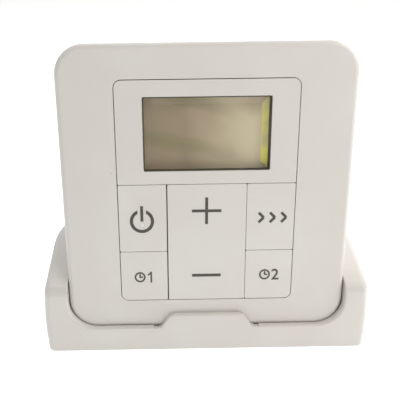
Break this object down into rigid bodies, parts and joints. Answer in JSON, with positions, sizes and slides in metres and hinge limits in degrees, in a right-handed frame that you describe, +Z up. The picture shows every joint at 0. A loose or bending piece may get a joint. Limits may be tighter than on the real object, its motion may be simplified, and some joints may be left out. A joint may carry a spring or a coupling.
{
  "type": "programmable heating timer",
  "caption": "Square programmable heating timer with a display, power, boost and program keys and a plus/minus rocker, resting in a low leaning desk stand.",
  "frame": {"origin": "middle of the overall footprint, on the surface that the stand's feet rest on", "axes": "+X to the right as seen from the front, +Y to the back, +Z up"},
  "size_m": [0.0996, 0.0474, 0.0872],
  "materials": {
    "case_plastic": "moulded satin ABS, warm light grey-white",
    "key_plastic": "moulded satin ABS with dark grey printed symbols",
    "clear_window": "clear acrylic window",
    "display": "reflective liquid crystal cell, olive grey",
    "diffuser": "yellow-green light guide",
    "inner_plastic": "natural ABS",
    "dark_plastic": "black moulded plastic",
    "chip_resin": "black moulding resin",
    "circuit_board": "green solder resist on glass fibre laminate",
    "silicone": "grey silicone rubber",
    "foot_rubber": "black rubber",
    "steel": "nickel plated steel",
    "antenna_brass": "drawn brass wire",
    "cell_sleeve": "printed shrink sleeve, plain"
  },
  "bodies": {
    "stand": {"stand_shell": "case_plastic", "stand_base": "case_plastic", "stand_foot_1": "foot_rubber", "stand_foot_2": "foot_rubber", "stand_foot_3": "foot_rubber", "stand_foot_4": "foot_rubber", "base_screw_1": "steel", "base_screw_2": "steel", "base_screw_3": "steel", "base_screw_4": "steel"},
    "timer": {"battery_bridge": "steel", "battery_lower": "cell_sleeve", "battery_spring_lower": "steel", "battery_spring_upper": "steel", "battery_terminal_lower": "steel", "battery_terminal_upper": "steel", "battery_upper": "cell_sleeve", "board_screw_1": "steel", "board_screw_2": "steel", "case_screw_1": "steel", "case_screw_2": "steel", "case_screw_3": "steel", "case_screw_4": "steel", "clock_crystal": "steel", "display_fascia": "case_plastic", "display_gasket": "silicone", "display_window": "clear_window", "front_bezel": "case_plastic", "key_carrier": "inner_plastic", "lcd_backlight": "diffuser", "lcd_cell": "display", "lcd_contact_strip": "silicone", "lcd_holder": "inner_plastic", "main_board": "circuit_board", "power_indicator": "clear_window", "processor_chip": "chip_resin", "radio_antenna": "antenna_brass", "radio_module": "steel", "rear_shell": "case_plastic", "supply_capacitor": "dark_plastic", "switch_body_boost": "chip_resin", "switch_body_minus": "chip_resin", "switch_body_plus": "chip_resin", "switch_body_power": "chip_resin", "switch_body_program_1": "chip_resin", "switch_body_program_2": "chip_resin"},
    "power_key": {"key_power": "key_plastic", "power_light_pipe": "clear_window"},
    "program_1_key": {"key_program_1": "key_plastic"},
    "plus_minus_key": {"key_plus_minus": "key_plastic"},
    "boost_key": {"key_boost": "key_plastic"},
    "program_2_key": {"key_program_2": "key_plastic"},
    "power_plunger": {"switch_plunger_power": "dark_plastic"},
    "program_1_plunger": {"switch_plunger_program_1": "dark_plastic"},
    "plus_plunger": {"switch_plunger_plus": "dark_plastic"},
    "minus_plunger": {"switch_plunger_minus": "dark_plastic"},
    "boost_plunger": {"switch_plunger_boost": "dark_plastic"},
    "program_2_plunger": {"switch_plunger_program_2": "dark_plastic"},
    "battery_cover": {"battery_door": "case_plastic"}
  },
  "joints": [
    {"name": "timer_lift", "type": "slide", "parent": "stand", "child": "timer", "axis": [0, 0.2588, 0.9659], "range_m": [0, 0.03]},
    {"name": "power_press", "type": "slide", "parent": "timer", "child": "power_key", "axis": [0, 0.9659, -0.2588], "range_m": [0, 0.00035], "stiffness_N_per_m": 800, "springref_m": -0.0006},
    {"name": "program_1_press", "type": "slide", "parent": "timer", "child": "program_1_key", "axis": [0, 0.9659, -0.2588], "range_m": [0, 0.00035], "stiffness_N_per_m": 800, "springref_m": -0.0006},
    {"name": "boost_press", "type": "slide", "parent": "timer", "child": "boost_key", "axis": [0, 0.9659, -0.2588], "range_m": [0, 0.00035], "stiffness_N_per_m": 800, "springref_m": -0.0006},
    {"name": "program_2_press", "type": "slide", "parent": "timer", "child": "program_2_key", "axis": [0, 0.9659, -0.2588], "range_m": [0, 0.00035], "stiffness_N_per_m": 800, "springref_m": -0.0006},
    {"name": "plus_minus_rock", "type": "hinge", "parent": "timer", "child": "plus_minus_key", "pos_m": [0, -0.01043, 0.03186], "axis": [1, 0, 0], "range_deg": [-1.2, 1.2], "stiffness_Nm_per_rad": 0.6},
    {"name": "power_switch_travel", "type": "slide", "parent": "timer", "child": "power_plunger", "axis": [0, 0.9659, -0.2588], "range_m": [0, 0.00035]},
    {"name": "program_1_switch_travel", "type": "slide", "parent": "timer", "child": "program_1_plunger", "axis": [0, 0.9659, -0.2588], "range_m": [0, 0.00035]},
    {"name": "boost_switch_travel", "type": "slide", "parent": "timer", "child": "boost_plunger", "axis": [0, 0.9659, -0.2588], "range_m": [0, 0.00035]},
    {"name": "program_2_switch_travel", "type": "slide", "parent": "timer", "child": "program_2_plunger", "axis": [0, 0.9659, -0.2588], "range_m": [0, 0.00035]},
    {"name": "plus_switch_travel", "type": "slide", "parent": "timer", "child": "plus_plunger", "axis": [0, 0.9659, -0.2588], "range_m": [0, 0.00035], "stiffness_N_per_m": 800, "springref_m": -0.0006},
    {"name": "minus_switch_travel", "type": "slide", "parent": "timer", "child": "minus_plunger", "axis": [0, 0.9659, -0.2588], "range_m": [0, 0.00035], "stiffness_N_per_m": 800, "springref_m": -0.0006},
    {"name": "battery_cover_slide", "type": "slide", "parent": "timer", "child": "battery_cover", "axis": [0, 0.2588, 0.9659], "range_m": [0, 0.012]}
  ],
  "couplings": [
    {"joint": "power_switch_travel", "follows": "power_press", "ratio": 1},
    {"joint": "program_1_switch_travel", "follows": "program_1_press", "ratio": 1},
    {"joint": "boost_switch_travel", "follows": "boost_press", "ratio": 1},
    {"joint": "program_2_switch_travel", "follows": "program_2_press", "ratio": 1}
  ]
}
